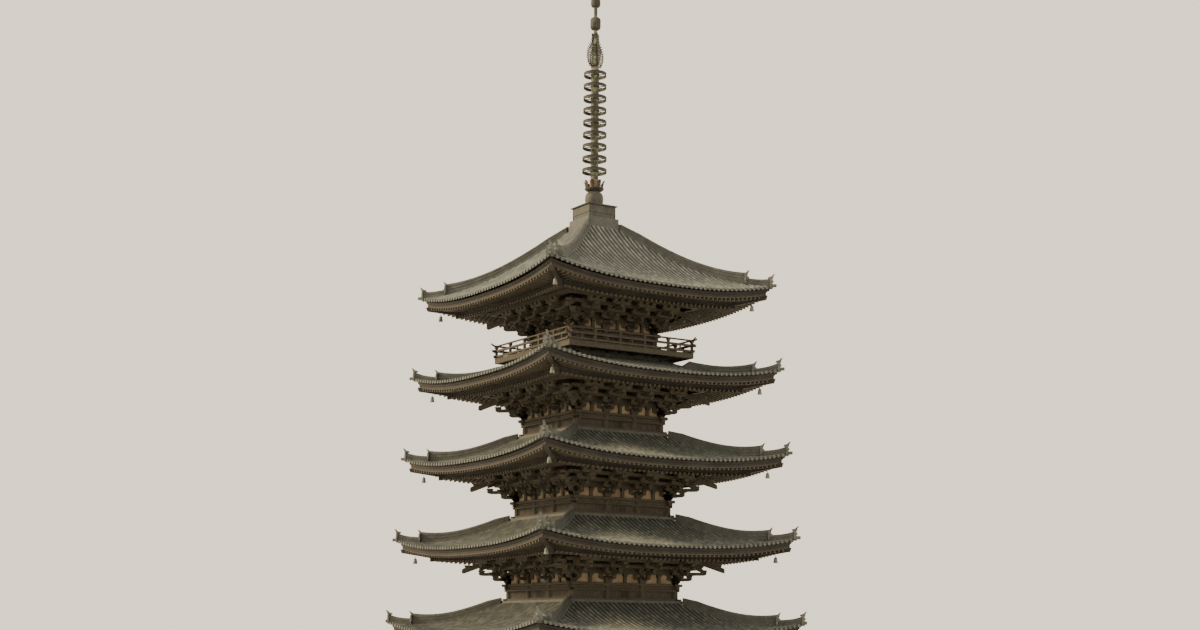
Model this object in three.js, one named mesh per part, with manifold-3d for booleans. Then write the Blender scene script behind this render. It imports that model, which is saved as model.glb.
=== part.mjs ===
// Five-storey timber pagoda with tiled roofs and a bronze spire, as a 1:2 scale model.
// Sizes below are the full-size building's, in millimetres, with +Z up. The group that is
// exported carries the 1:2 scale. The origin is at the centre of the stone podium's underside.
import * as THREE from "three";
import { mergeVertices } from "three/addons/utils/BufferGeometryUtils.js";
import Module from "manifold-3d";

const wasm = await Module();
wasm.setup();

// Driving dimensions
const MODEL_SCALE = 1 / 2;
const GAP = 0.6; // clearance between touching pieces
const STOREYS = 5;
const STOREY_RISE = 5072; // eave to eave
const FIRST_CORNER = 6700; // underside of the tiles at the corners of the lowest roof
const FIRST_WALL = 4180; // half width over the corner posts of the ground storey
const WALL_STEP = 331; // each storey's walls stand in by this much
const FIRST_EAVE = 9223; // half width over the tiles of the lowest roof
const EAVE_STEP = 342;
const UPTURN = 760; // the eave corners rise this far above the middle of the eave
const PODIUM_HEIGHT = 900;
const SPIRE_TIP = 46000;

// Timber frame
const POST_RADIUS = 210;
const BOARD = 60; // half thickness of the wall boards
const PLATE = { half: 240, depth: 150, past: 440 };
const TIE_DEPTH = 190;
const RAIL = { depth: 110, proud: 230 };
const SHUTTER = { thick: 75, set_in: BOARD + GAP };
const BRACKET_RING = 130; // half thickness of the wall between plate and rafters
const PLATE_BELOW_EAVE = 1934; // plate top to the underside of the tiles at mid eave

// Eaves
const PURLIN_OUT = 1900; // purlin centre out from the post line
const PURLIN_BELOW_EAVE = 164;
const RAFTER_SLOPE = 0.36;
const FLYING_SLOPE = 0.15;
const FLYING_RUN = 1900; // the upper rafters reach this far in from the tile edge
const EAVE_BOARD = { set_in: 150, under: 45, depth: 250, reach: 350 };
const BASE_RAFTER_END = 375; // base rafter and its eave board together
const HIP_WIDTH = 260;
const BELL = { set_in: 920, drop: 1065, height: 340, crown: 95, mouth: 165 };
const SEAT_HALF = 400; // seat that carries the next storey
const SEAT_DEPTH = 254;

// Tiled roofs
const TILE_BED = 200; // crest of the tiles to the underside of their bed
const TILE_OVER_EDGE = 170;
const ROOF_SAG = 310;
const TOP_ROOF_SAG = 520;
const ROOF_RISE = 1330; // tile height beside the wall above, over the eave corners
const BALCONY_ROOF_RISE = 850;
const TOP_ROOF_CURB = { half: 1100, foot: 31050, top: 31550 };
const RIDGE = { half: 175, height: 430, sunk: 90, end_in: 1200, horn: 330 };
const LOW_RIDGE = { height: 300, sunk: 60, end_in: 40, horn: 260 };

// Balcony of the top storey
const BALCONY_HALF = 4450;
const BALCONY_RISE = 1200;
const RAILING = { half: 4350, top: 830, bar: 50, past: 330, bays: 5 };
const RAILING_POST = { half: 55, corner_over: 40, let_in: 20 };
const DECK = { thick: 120, beam: 150, beam_depth: 330 };
const JOIST = { width: 160, depth: 160, heel: 200, set_in: 160 };
const FLOOR = { inner: 330, boards: 150, bore: 390 };

// Spire
const PILLAR = { radius: 350, shoulder: 32420, neck: 180, top: 41100, sides: 8 };
const BASIN = { half: 950, wall: 80, plate: 32350, plate_half: 1065 };
const BOWL = { height: 960, sides: 20 };
const LOTUS = { height: 700, petals: 8, petal: 230, sides: 12 };
const RINGS = { count: 9, first: 34650, rise: 760, outer: 770, taper: 7.5, band: 120, thick: 65 };
const TUBE_RADIUS = 245; // sleeve that carries the rings
const ROD = { radius: 115, collar: 60, foot: PILLAR.top + GAP, top: 45050, sides: 12 };
const FLAME = { core: 170, plate: 40, top: 43300 };
const BALL = { low: 43584, high: 44346, sides: 16 };

const ACROSS = [-1, -0.75, -0.3, 0.3, 0.75, 1];
const CURVE_POWER = 2.6; // how late along the eave the upturn comes
const QUARTERS = [0, 1, 2, 3];
const DIAGONAL = Math.SQRT2;

// Sizes of one storey, counted from 0 at the ground
function storey(i) {
  const wall = FIRST_WALL - WALL_STEP * i;
  const eave = FIRST_EAVE - EAVE_STEP * i;
  const corner = FIRST_CORNER + STOREY_RISE * i;
  const mid = corner - UPTURN;
  const axis = wall - POST_RADIUS;
  const plateTop = mid - PLATE_BELOW_EAVE;
  return { wall, eave, corner, mid, axis, plateTop, base: baseOf(i) };
}

// Height at which the walls of a storey stand
function baseOf(i) {
  if (i === 0) return PODIUM_HEIGHT;
  const cornerBelow = FIRST_CORNER + STOREY_RISE * (i - 1);
  return cornerBelow + (i === STOREYS - 1 ? BALCONY_RISE : ROOF_RISE + 45);
}

// Materials
const finish = (color, roughness, metalness = 0) =>
  new THREE.MeshStandardMaterial({ color, roughness, metalness });
const timber = finish(0x40342a, 0.85);
const paleTimber = finish(0x5a4a3a, 0.85);
const tile = finish(0x5c635f, 0.7);
const bronze = finish(0x4c4d3e, 0.6, 0.6);
const stone = finish(0x8b867b, 0.9);

// Solids
function solidOf(geometry) {
  const plain = geometry.index ? geometry.toNonIndexed() : geometry.clone();
  const bare = new THREE.BufferGeometry();
  bare.setAttribute("position", plain.getAttribute("position"));
  const merged = mergeVertices(bare, 1e-2);
  const corners = merged.index.array;
  const kept = [];
  for (let t = 0; t < corners.length; t += 3) {
    const [a, b, c] = corners.slice(t, t + 3);
    if (a !== b && b !== c && c !== a) kept.push(a, b, c);
  }
  return new wasm.Manifold(
    new wasm.Mesh({
      numProp: 3,
      vertProperties: merged.attributes.position.array,
      triVerts: new Uint32Array(kept),
    }),
  );
}

function geometryOf(solid) {
  const mesh = solid.getMesh();
  const points = new Float32Array(mesh.numVert * 3);
  for (let v = 0; v < mesh.numVert; v++) {
    const from = v * mesh.numProp;
    points.set(mesh.vertProperties.subarray(from, from + 3), v * 3);
  }
  const geometry = new THREE.BufferGeometry();
  geometry.setAttribute("position", new THREE.BufferAttribute(points, 3));
  geometry.setIndex(new THREE.BufferAttribute(mesh.triVerts, 1));
  geometry.computeVertexNormals();
  return geometry;
}

const joined = (solids) => wasm.Manifold.union(solids);
const cut = (solid, holes) => solid.subtract(joined(holes));

// A box between two corners
function box([x0, y0, z0], [x1, y1, z1]) {
  const geometry = new THREE.BoxGeometry(x1 - x0, y1 - y0, z1 - z0);
  geometry.translate((x0 + x1) / 2, (y0 + y1) / 2, (z0 + z1) / 2);
  return solidOf(geometry);
}

// A square slab round the tower's axis
const slab = (half, low, high) => box([-half, -half, low], [half, half, high]);
const squareTube = (outer, inner, low, high) =>
  slab(outer, low, high).subtract(slab(inner, low - 1, high + 1));

function cylinder(radius, low, high, sides = 12, x = 0, y = 0) {
  const geometry = new THREE.CylinderGeometry(radius, radius, high - low, sides);
  geometry.rotateX(Math.PI / 2);
  geometry.translate(x, y, (low + high) / 2);
  return solidOf(geometry);
}

// A turned shape from [radius, height] pairs that start and end on its axis, which stands at a
// distance out from the tower's axis
function turned(profile, sides, out = 0, angle = 0) {
  const points = profile.map(([radius, z]) => new THREE.Vector2(radius, z));
  const geometry = new THREE.LatheGeometry(points, sides);
  geometry.rotateX(Math.PI / 2);
  geometry.translate(out, 0, 0);
  geometry.rotateZ(angle);
  return solidOf(geometry);
}

// A plate with its outline in [distance out, height], standing along a direction from the axis
function radialPlate(outline, width, angle, offset = 0) {
  const shape = new THREE.Shape(outline.map(([out, z]) => new THREE.Vector2(out, z)));
  const geometry = new THREE.ExtrudeGeometry(shape, { depth: width, bevelEnabled: false });
  geometry.rotateX(Math.PI / 2);
  geometry.translate(0, width / 2 + offset, 0);
  geometry.rotateZ(angle);
  return solidOf(geometry);
}

const facing = (quarter) => -Math.PI / 2 + (quarter * Math.PI) / 2;
const cornerward = (quarter) => facing(quarter) + Math.PI / 4;
const diagonalPlate = (outline, width, quarter) =>
  radialPlate(
    outline.map(([r, z]) => [r * DIAGONAL, z]),
    width,
    cornerward(quarter),
  );

// A closed profile of {r, z, lift}, counterclockwise, swept round the four sides. Lift is the
// share of the corner upturn that reaches the point.
function squareRing(profile, across = ACROSS) {
  const points = [];
  const columns = [];
  QUARTERS.forEach((quarter) => {
    across.slice(0, -1).forEach((s) => columns.push([quarter, s]));
  });
  columns.forEach(([quarter, s]) => {
    const turn = (quarter * Math.PI) / 2;
    const rise = UPTURN * Math.abs(s) ** CURVE_POWER;
    profile.forEach(({ r, z, lift }) => {
      const p = new THREE.Vector3(s * r, -r, z + rise * lift);
      p.applyAxisAngle(new THREE.Vector3(0, 0, 1), turn);
      points.push(p.x, p.y, p.z);
    });
  });
  const n = profile.length;
  const faces = [];
  columns.forEach((_, c) => {
    const next = ((c + 1) % columns.length) * n;
    const here = c * n;
    for (let m = 0; m < n; m++) {
      const up = (m + 1) % n;
      faces.push(here + m, next + m, next + up);
      faces.push(here + m, next + up, here + up);
    }
  });
  const geometry = new THREE.BufferGeometry();
  geometry.setAttribute("position", new THREE.Float32BufferAttribute(points, 3));
  geometry.setIndex(faces);
  return solidOf(geometry);
}

const pagoda = new THREE.Group();
pagoda.scale.setScalar(MODEL_SCALE);

function add(name, solid, material) {
  const mesh = new THREE.Mesh(geometryOf(solid), material);
  mesh.name = name;
  pagoda.add(mesh);
}

// Stone podium with a flight of steps on each side
function podium() {
  const half = FIRST_WALL + 1300;
  const stepHeight = 225;
  const tread = 320;
  const flightHalf = 1300;
  const solids = [
    slab(half - 80, 0, PODIUM_HEIGHT - 160),
    slab(half, PODIUM_HEIGHT - 170, PODIUM_HEIGHT),
  ];
  QUARTERS.forEach((quarter) => {
    const outline = [[half - 200, 0]];
    for (let step = 1; step <= 3; step++) {
      outline.push([half + tread * (4 - step), stepHeight * (step - 1)]);
      outline.push([half + tread * (4 - step), stepHeight * step]);
    }
    outline.push([half - 200, stepHeight * 3]);
    solids.push(radialPlate(outline, flightHalf * 2, facing(quarter)));
  });
  return joined(solids);
}

// Openings of one side: a doorway between two window bays
function openingsOf(i) {
  const { axis, base, plateTop } = storey(i);
  const low = base + (i === 0 ? 60 : RAIL.depth + 60);
  const high = plateTop - PLATE.depth - TIE_DEPTH - RAIL.depth - 20;
  const bay = (2 * axis) / 3;
  const doorHalf = bay / 2 - POST_RADIUS - 90;
  const windowHalf = doorHalf - 110;
  const sill = i === 0 ? base + 1000 : low;
  return { low, high, sill, bay, doorHalf, windowHalf };
}

function openingBoxes(i, withWindows) {
  const { axis } = storey(i);
  const { low, high, sill, bay, doorHalf, windowHalf } = openingsOf(i);
  const holes = [];
  QUARTERS.forEach((quarter) => {
    const near = axis - 400;
    const far = axis + 400;
    const hole = (half, middle, bottom) =>
      radialPlate(
        [[near, bottom], [far, bottom], [far, high], [near, high]],
        half * 2,
        facing(quarter),
        middle,
      );
    holes.push(hole(doorHalf, 0, low));
    if (withWindows) {
      holes.push(hole(windowHalf, -bay, sill));
      holes.push(hole(windowHalf, bay, sill));
    }
  });
  return holes;
}

// Walls of one storey: posts, boards, rails and the plate whose ends cross at the corners
function walls(i) {
  const { axis, base, plateTop } = storey(i);
  const foot = base + GAP;
  const plateLow = plateTop - PLATE.depth;
  const railHigh = plateLow - TIE_DEPTH;
  const solids = [
    squareTube(axis + BOARD, axis - BOARD, foot, plateLow + 10),
    squareTube(axis + RAIL.proud, axis, railHigh - RAIL.depth, railHigh),
  ];
  if (i === 0) solids.push(squareTube(axis + RAIL.proud, axis, foot, foot + RAIL.depth));
  QUARTERS.forEach((quarter) => {
    const end = axis + PLATE.past;
    const outline = [
      [axis - PLATE.half, plateLow],
      [axis + PLATE.half, plateLow],
      [axis + PLATE.half, plateTop],
      [axis - PLATE.half, plateTop],
    ];
    solids.push(radialPlate(outline, end * 2, facing(quarter)));
    const turn = facing(quarter);
    [-1, -1 / 3, 1 / 3].forEach((place) => {
      const out = new THREE.Vector2(axis, axis * place).rotateAround(new THREE.Vector2(), turn);
      solids.push(cylinder(POST_RADIUS, foot, plateLow + 10, 6, out.x, out.y));
    });
  });
  const room = slab(axis - BOARD, foot - 10, plateTop - PLATE.depth);
  return cut(joined(solids), [room, ...openingBoxes(i, i === 0)]);
}

// Shutter boards behind the openings of an upper storey
function shutters(i) {
  const { axis, base, plateTop } = storey(i);
  const outer = axis - SHUTTER.set_in;
  const high = plateTop - PLATE.depth - GAP;
  return squareTube(outer, outer - SHUTTER.thick, base + GAP, high);
}

// A closed pair of plank doors in a doorway of the ground storey
function doors(quarter) {
  const { axis, base } = storey(0);
  const { high, doorHalf } = openingsOf(0);
  const low = base + 60 + GAP;
  const face = [
    [axis - 45, low],
    [axis + 45, low],
    [axis + 45, high - GAP],
    [axis - 45, high - GAP],
  ];
  const leafHalf = doorHalf - GAP;
  const pair = radialPlate(face, leafHalf * 2, facing(quarter));
  const groove = [
    [axis + 30, low - 1],
    [axis + 60, low - 1],
    [axis + 60, high],
    [axis + 30, high],
  ];
  return pair.subtract(radialPlate(groove, 30, facing(quarter)));
}

// Platform of beams and boards that carries an upper storey
function floor(i) {
  const below = storey(i - 1);
  const { wall, axis, base } = storey(i);
  const half = floorHalf(i);
  const low = below.corner + GAP;
  const solids = [
    squareTube(half, wall - FLOOR.inner, low, base),
    slab(half, base - FLOOR.boards, base),
  ];
  if (i === STOREYS - 1) {
    const heel = wall - JOIST.heel;
    const end = BALCONY_HALF - JOIST.set_in;
    const top = base - DECK.thick - GAP;
    const foot = top - JOIST.depth;
    const joist = [[heel, foot], [end, foot], [end, top], [heel, top]];
    QUARTERS.forEach((quarter) => {
      [-1 / 3, 1 / 3].forEach((place) => {
        solids.push(radialPlate(joist, JOIST.width, facing(quarter), axis * place));
      });
    });
  }
  return cut(joined(solids), [cylinder(FLOOR.bore, low, base + 10, PILLAR.sides)]);
}

const floorHalf = (i) => storey(i).wall + 60;

// Bracket work of one storey: the wall above the plate, arms that step out over each post and
// the eave purlin that they carry
function brackets(i) {
  const { axis, plateTop, mid } = storey(i);
  const foot = plateTop + GAP;
  const purlinTop = mid - PURLIN_BELOW_EAVE - GAP;
  const ringTop = storey(i).corner - SEAT_DEPTH - GAP;
  const cluster = [
    [0, 0],
    [250, 0],
    [760, 420],
    [1330, 880],
    [1960, 1460],
    [1960, 1640],
    [1250, 1400],
    [0, 1880],
  ].map(([out, z]) => [axis + out, foot + z]);
  const notches = [];
  const solids = [
    squareTube(axis + BRACKET_RING, axis - BRACKET_RING, foot, ringTop),
    squareTube(
      axis + PURLIN_OUT + 120,
      axis + PURLIN_OUT - 120,
      purlinTop - 240,
      purlinTop,
    ),
  ];
  QUARTERS.forEach((quarter) => {
    [-1 / 3, 1 / 3].forEach((place) => {
      const offset = axis * place;
      solids.push(radialPlate(cluster, 220, facing(quarter), offset));
    });
    solids.push(diagonalPlate(cluster, 260, quarter));
    notches.push(diagonalPlate(hipRafter(i, GAP), HIP_WIDTH + 2 * GAP, quarter));
  });
  return cut(joined(solids), notches);
}

const purlinAt = (i) => storey(i).axis + PURLIN_OUT;

// Share of the corner upturn that reaches a distance r from the axis, under the eaves
function soffitLift(i, r) {
  const from = purlinAt(i) + 120;
  return Math.max(0, (r - from) / (storey(i).eave - from)) ** 1.7;
}

// Underside of the rafters, as [r, z] from the wall out to the eave board
function soffitLine(i) {
  const { axis, eave, corner, mid } = storey(i);
  const purlin = purlinAt(i);
  const purlinTop = mid - PURLIN_BELOW_EAVE;
  const baseEnd = eave - FLYING_RUN + 100;
  const flyingEnd = eave - EAVE_BOARD.reach;
  const baseLow = purlinTop - RAFTER_SLOPE * (baseEnd - purlin - 120);
  const flyingLow = baseLow + BASE_RAFTER_END;
  return [
    [axis + 170, corner - SEAT_DEPTH],
    [purlin - 120, purlinTop],
    [purlin + 120, purlinTop],
    [baseEnd, baseLow],
    [baseEnd, flyingLow],
    [flyingEnd, flyingLow - FLYING_SLOPE * (flyingEnd - baseEnd)],
  ];
}

// Rafters and boards of one eave, with the hip rafters and the wind bells hung from them
function eaves(i) {
  const { eave, corner, mid } = storey(i);
  const inner = i === STOREYS - 1 ? 900 : storey(i + 1).wall - SEAT_HALF;
  const seatOuter = i === STOREYS - 1 ? 1500 : storey(i + 1).wall + SEAT_HALF;
  const edge = eave - EAVE_BOARD.set_in;
  const boardTop = mid - EAVE_BOARD.under;
  const boardLow = boardTop - EAVE_BOARD.depth;
  const flyingEnd = eave - EAVE_BOARD.reach;
  const outline = [
    [inner, corner - SEAT_DEPTH],
    ...soffitLine(i),
    [flyingEnd, boardLow],
    [edge, boardLow],
    [edge, boardTop],
    [eave - FLYING_RUN, mid + 30],
    [seatOuter, corner],
    [inner, corner],
  ];
  const ring = squareRing(outline.map(([r, z]) => ({ r, z, lift: soffitLift(i, r) })));
  const solids = [ring];
  const hip = hipRafter(i);
  QUARTERS.forEach((quarter) => {
    solids.push(diagonalPlate(hip, HIP_WIDTH, quarter));
    solids.push(bell(i, quarter));
  });
  return joined(solids);
}

// Side outline of the beam under each hip, in [r, z], with room left below and behind it
function hipRafter(i, room = 0) {
  const { eave, corner } = storey(i);
  const lifted = soffitLine(i).map(([r, z]) => [r, z + UPTURN * soffitLift(i, r)]);
  const [, , purlin, baseLow, flyingLow, flyingEnd] = lifted;
  const depth = 230 + room;
  const end = eave - 400;
  const heel = purlin[0] - 500 - room;
  return [
    [heel, purlin[1] + 180 - depth],
    [purlin[0], purlin[1] - depth - 20],
    [baseLow[0] + 170, baseLow[1] - depth],
    [baseLow[0] + 170, flyingLow[1] - depth],
    [end, corner - 740],
    [end + 40, flyingEnd[1] + 60],
    [flyingLow[0], flyingLow[1] + 120],
    [purlin[0], purlin[1] + 60],
    [heel, purlin[1] + 240],
  ];
}

// A wind bell under the outer end of a hip rafter, its hanger narrowing up into the beam
function bell(i, quarter) {
  const { eave, corner } = storey(i);
  const { set_in, drop, height, crown, mouth } = BELL;
  const top = corner - drop;
  const profile = [
    [0, top - height],
    [mouth, top - height],
    [crown, top],
    [0, corner - 600],
  ];
  return turned(profile, 6, (eave - set_in) * DIAGONAL, cornerward(quarter));
}

// Height of the tile surface over the eave corner level at share t of the way down the slope
function slopeHeight(i, t) {
  const last = i === STOREYS - 1;
  const { corner, mid } = storey(i);
  const rise = i === STOREYS - 2 ? BALCONY_ROOF_RISE : ROOF_RISE;
  const start = last ? TOP_ROOF_CURB.foot : corner + rise;
  const end = mid + TILE_OVER_EDGE;
  const sag = last ? TOP_ROOF_SAG : ROOF_SAG;
  return start + (end - start) * t - 4 * sag * t * (1 - t);
}

const roofInner = (i) =>
  i === STOREYS - 1 ? TOP_ROOF_CURB.half : floorHalf(i + 1) + GAP;

// Height of the tiles along a hip at a distance r
function hipHeight(i, r) {
  const inner = roofInner(i);
  const t = (r - inner) / (storey(i).eave - inner);
  return slopeHeight(i, t) + UPTURN * t ** 3;
}

// Tiles and their bed over the four slopes of one roof
function tileShell(i) {
  const inner = roofInner(i);
  const { eave } = storey(i);
  const shares = [0, 1 / 3, 2 / 3, 1];
  const at = (t, down) => ({
    r: inner + (eave - inner) * t,
    z: slopeHeight(i, t) - down,
    lift: t ** 3,
  });
  const under = shares.map((t) => at(t, TILE_BED));
  const over = shares.map((t) => at(t, 0)).reverse();
  return squareRing([...under, ...over]);
}

// Tiled roof of one storey with its stepped hip ridges, and the frame that it stands on
function roof(i) {
  const inner = roofInner(i);
  const solids = [tileShell(i)];
  const outline = ridgeOutline(i);
  QUARTERS.forEach((quarter) => {
    solids.push(diagonalPlate(outline, RIDGE.half * 2, quarter));
  });
  if (i === STOREYS - 1) {
    const { half, foot, top } = TOP_ROOF_CURB;
    solids.push(squareTube(half + 100, half - 300, foot - 350, foot + 180));
    solids.push(squareTube(half, half - 300, foot + 100, top));
  } else {
    const foot = storey(i).corner + GAP;
    solids.push(squareTube(inner + 170, inner, foot, slopeHeight(i, 0) + 40));
  }
  return joined(solids);
}

// Side outline of a hip ridge: the main ridge ends in an upright tile with a horn, and a lower
// one runs on to the corner
function ridgeOutline(i) {
  const inner = roofInner(i);
  const tip = storey(i).eave - LOW_RIDGE.end_in;
  const end = storey(i).eave - RIDGE.end_in;
  const start = i === STOREYS - 2 ? 0.16 : 0.02;
  const along = (t) => inner + (end - inner) * t;
  const over = (r, height) => [r, hipHeight(i, r) + height];
  const [, top] = over(end, RIDGE.height);
  const [, lowTop] = over(tip, LOW_RIDGE.height);
  return [
    over(along(start), -RIDGE.sunk),
    over(along(0.35), -RIDGE.sunk),
    over(along(0.7), -RIDGE.sunk),
    over(end, -LOW_RIDGE.sunk),
    over(tip, -LOW_RIDGE.sunk),
    [tip + 20, lowTop],
    [tip + 50, lowTop + LOW_RIDGE.horn],
    [tip - 110, lowTop],
    over(end + 60, LOW_RIDGE.height),
    [end + 70, top + RIDGE.horn],
    [end - 140, top],
    over(along(0.7), RIDGE.height),
    over(along(0.35), RIDGE.height),
    over(along(start), RIDGE.height),
  ];
}

// Timber shaft inside the top roof that carries the foot of the spire
function topFrame() {
  const { half, foot } = TOP_ROOF_CURB;
  return squareTube(half - 100, half - 250, storey(STOREYS - 1).corner + GAP, foot - 350 - GAP);
}

// Deck round the top storey, with a deeper beam along its edge
function balconyDeck() {
  const { base } = storey(STOREYS - 1);
  const inner = floorHalf(STOREYS - 1) + GAP;
  return joined([
    squareTube(BALCONY_HALF, inner, base - DECK.thick, base),
    squareTube(BALCONY_HALF, BALCONY_HALF - DECK.beam, base - DECK.beam_depth, base - 100),
  ]);
}

// Railing of posts under a top rail that crosses at the corners
function balconyRailing() {
  const { base } = storey(STOREYS - 1);
  const { half, top, bar, past, bays } = RAILING;
  const { half: postHalf, corner_over, let_in } = RAILING_POST;
  const low = base + GAP;
  const middle = low + top;
  const solids = [];
  QUARTERS.forEach((quarter) => {
    const section = (thick, from, to) => [
      [half - thick, from],
      [half + thick, from],
      [half + thick, to],
      [half - thick, to],
    ];
    const rail = section(bar, middle - bar, middle + bar);
    solids.push(radialPlate(rail, (half + past) * 2, facing(quarter)));
    for (let bay = 0; bay < bays; bay++) {
      const along = half * (-1 + (2 * bay) / bays);
      const head = bay === 0 ? middle + corner_over : middle - let_in;
      const post = section(postHalf, low, head);
      solids.push(radialPlate(post, postHalf * 2, facing(quarter), along));
    }
  });
  return joined(solids);
}

// Central timber that stands on the podium and carries the spire
function heartPillar() {
  const { radius, shoulder, neck, top, sides } = PILLAR;
  return joined([
    cylinder(radius, PODIUM_HEIGHT + GAP, shoulder - 100, sides),
    cylinder(neck, shoulder - 200, top, sides),
  ]);
}

// Room for the pillar's neck through a piece of the spire
const neckBore = (low, high) => cylinder(PILLAR.neck + GAP, low - 10, high + 10, PILLAR.sides);

// Square box at the foot of the spire, with a thin plate on top
function dewBasin() {
  const { half, wall, plate, plate_half } = BASIN;
  const foot = TOP_ROOF_CURB.top + GAP;
  return joined([
    squareTube(half, half - wall, foot, plate + 10),
    slab(plate_half, plate, PILLAR.shoulder),
  ]).subtract(neckBore(plate, PILLAR.shoulder));
}

function invertedBowl() {
  const foot = PILLAR.shoulder + GAP;
  const bowl = turned(
    [
      [0, foot],
      [560, foot],
      [585, foot + 250],
      [560, foot + 560],
      [430, foot + 820],
      [330, foot + BOWL.height],
      [0, foot + BOWL.height],
    ],
    BOWL.sides,
  );
  return bowl.subtract(neckBore(foot, foot + BOWL.height));
}

// Ring of upright petals on a dish
function lotusSeat() {
  const { height, petals, petal: width, sides } = LOTUS;
  const foot = PILLAR.shoulder + BOWL.height + GAP * 2;
  const petal = [
    [400, foot],
    [520, foot],
    [640, foot + 180],
    [700, foot + 640],
    [640, foot + height],
    [530, foot + 240],
    [400, foot + 110],
  ];
  const dish = cylinder(500, foot, foot + 120, sides);
  const core = cylinder(300, foot + 100, foot + height, petals);
  const solids = [dish, core];
  for (let p = 0; p < petals; p++) {
    solids.push(radialPlate(petal, width, (2 * Math.PI * p) / petals));
  }
  return joined(solids).subtract(neckBore(foot, foot + height));
}

// Nine spoked rings on a sleeve
function nineRings() {
  const foot = PILLAR.shoulder + BOWL.height + LOTUS.height + GAP * 3;
  const { count, first, rise, outer, taper, band, thick } = RINGS;
  const solids = [cylinder(TUBE_RADIUS, foot, PILLAR.top, PILLAR.sides)];
  for (let k = 0; k < count; k++) {
    const z = first + rise * k;
    const radius = outer - taper * k;
    const hoop = cylinder(radius, z - band, z + band, 10);
    solids.push(hoop.subtract(cylinder(radius - thick, z - band - 1, z + band + 1, 10)));
    const reach = radius - thick / 2;
    const [along, across] = k % 2 === 0 ? [reach, 35] : [35, reach];
    solids.push(box([-along, -across, z - 45], [along, across, z + 45]));
  }
  return joined(solids).subtract(neckBore(foot, PILLAR.top));
}

// Spire above the rings: a rod that carries the flame plates, a ball and the jewel
function waterFlame() {
  const foot = ROD.foot + ROD.collar;
  const plate = [
    [150, foot + 40],
    [430, foot + 100],
    [600, foot + 620],
    [540, foot + 1250],
    [400, foot + 1700],
    [330, foot + 1960],
    [250, foot + 1800],
    [150, foot + 1850],
  ];
  const solids = [cylinder(FLAME.core, foot, FLAME.top, ROD.sides)];
  QUARTERS.forEach((quarter) => {
    const fin = radialPlate(plate, FLAME.plate, facing(quarter));
    const holes = [0, 1, 2].map((k) => {
      const z = foot + 330 + k * 430;
      const hole = [[270, z], [430, z - 60], [460, z + 170], [300, z + 230]];
      return radialPlate(hole, FLAME.plate + 20, facing(quarter));
    });
    solids.push(cut(fin, holes));
  });
  return joined(solids).subtract(rodBore(foot, FLAME.top));
}

function spireRod() {
  const { radius, collar, foot, top, sides } = ROD;
  return joined([
    cylinder(TUBE_RADIUS, foot, foot + collar - GAP, sides),
    cylinder(radius, foot, top, sides),
  ]);
}

// Room for the rod through a piece that it carries
const rodBore = (low, high) => cylinder(ROD.radius + GAP, low - 10, high + 10, ROD.sides);

function upperBall() {
  const { low, high, sides } = BALL;
  const ball = turned(
    [
      [0, low],
      [230, low],
      [305, low + 130],
      [325, (low + high) / 2],
      [305, high - 130],
      [230, high],
      [0, high],
    ],
    sides,
  );
  return ball.subtract(rodBore(low, high));
}

function jewel() {
  const low = ROD.top - 20;
  const body = turned(
    [
      [0, low],
      [170, low],
      [285, low + 150],
      [300, low + 330],
      [230, low + 560],
      [90, low + 760],
      [0, SPIRE_TIP],
    ],
    BALL.sides,
  );
  return body.subtract(cylinder(ROD.radius + GAP, low - 10, ROD.top + GAP, ROD.sides));
}

// Assembly
add("podium", podium(), stone);
["south", "east", "north", "west"].forEach((side, quarter) => {
  add(`door_${side}`, doors(quarter), paleTimber);
});
for (let i = 0; i < STOREYS; i++) {
  const n = i + 1;
  if (i > 0) add(`floor_${n}`, floor(i), timber);
  add(`walls_${n}`, walls(i), timber);
  if (i > 0) add(`shutters_${n}`, shutters(i), paleTimber);
  add(`brackets_${n}`, brackets(i), timber);
  add(`eaves_${n}`, eaves(i), timber);
  add(`roof_${n}`, roof(i), tile);
}
add("top_frame", topFrame(), timber);
add("balcony_deck", balconyDeck(), timber);
add("balcony_railing", balconyRailing(), timber);
add("heart_pillar", heartPillar(), timber);
add("dew_basin", dewBasin(), bronze);
add("inverted_bowl", invertedBowl(), bronze);
add("lotus_seat", lotusSeat(), bronze);
add("nine_rings", nineRings(), bronze);
add("spire_rod", spireRod(), bronze);
add("water_flame", waterFlame(), bronze);
add("upper_ball", upperBall(), bronze);
add("jewel", jewel(), bronze);

export default pagoda;
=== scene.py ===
import math
from contextlib import contextmanager
from types import SimpleNamespace

import bpy
import numpy as np
from mathutils import Matrix, Vector


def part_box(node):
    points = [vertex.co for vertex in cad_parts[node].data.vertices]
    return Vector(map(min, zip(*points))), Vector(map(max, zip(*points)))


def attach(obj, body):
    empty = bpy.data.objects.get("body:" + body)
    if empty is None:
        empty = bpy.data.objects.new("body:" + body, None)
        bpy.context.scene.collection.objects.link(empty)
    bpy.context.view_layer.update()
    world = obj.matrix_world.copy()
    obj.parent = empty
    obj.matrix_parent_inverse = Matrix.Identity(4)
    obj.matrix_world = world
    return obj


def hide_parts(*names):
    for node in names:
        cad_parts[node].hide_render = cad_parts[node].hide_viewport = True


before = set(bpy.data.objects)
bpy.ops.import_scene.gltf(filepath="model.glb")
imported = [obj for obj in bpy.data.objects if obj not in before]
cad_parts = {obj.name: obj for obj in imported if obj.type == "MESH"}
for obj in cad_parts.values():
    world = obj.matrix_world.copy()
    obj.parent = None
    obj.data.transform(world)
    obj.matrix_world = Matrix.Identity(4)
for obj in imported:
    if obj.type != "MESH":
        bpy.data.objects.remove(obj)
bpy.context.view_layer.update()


# Camera and light
# The tower is seen from street level, from its south-west corner. The camera is raised a little
# and shifted up, so that the upright lines stay upright.
eye = Vector((-28.32, -44.72, 2.81))
heading = Vector((0.539, 0.842, 0)).normalized()
tilt_up = math.radians(3.6)
roll = -0.00757
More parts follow.
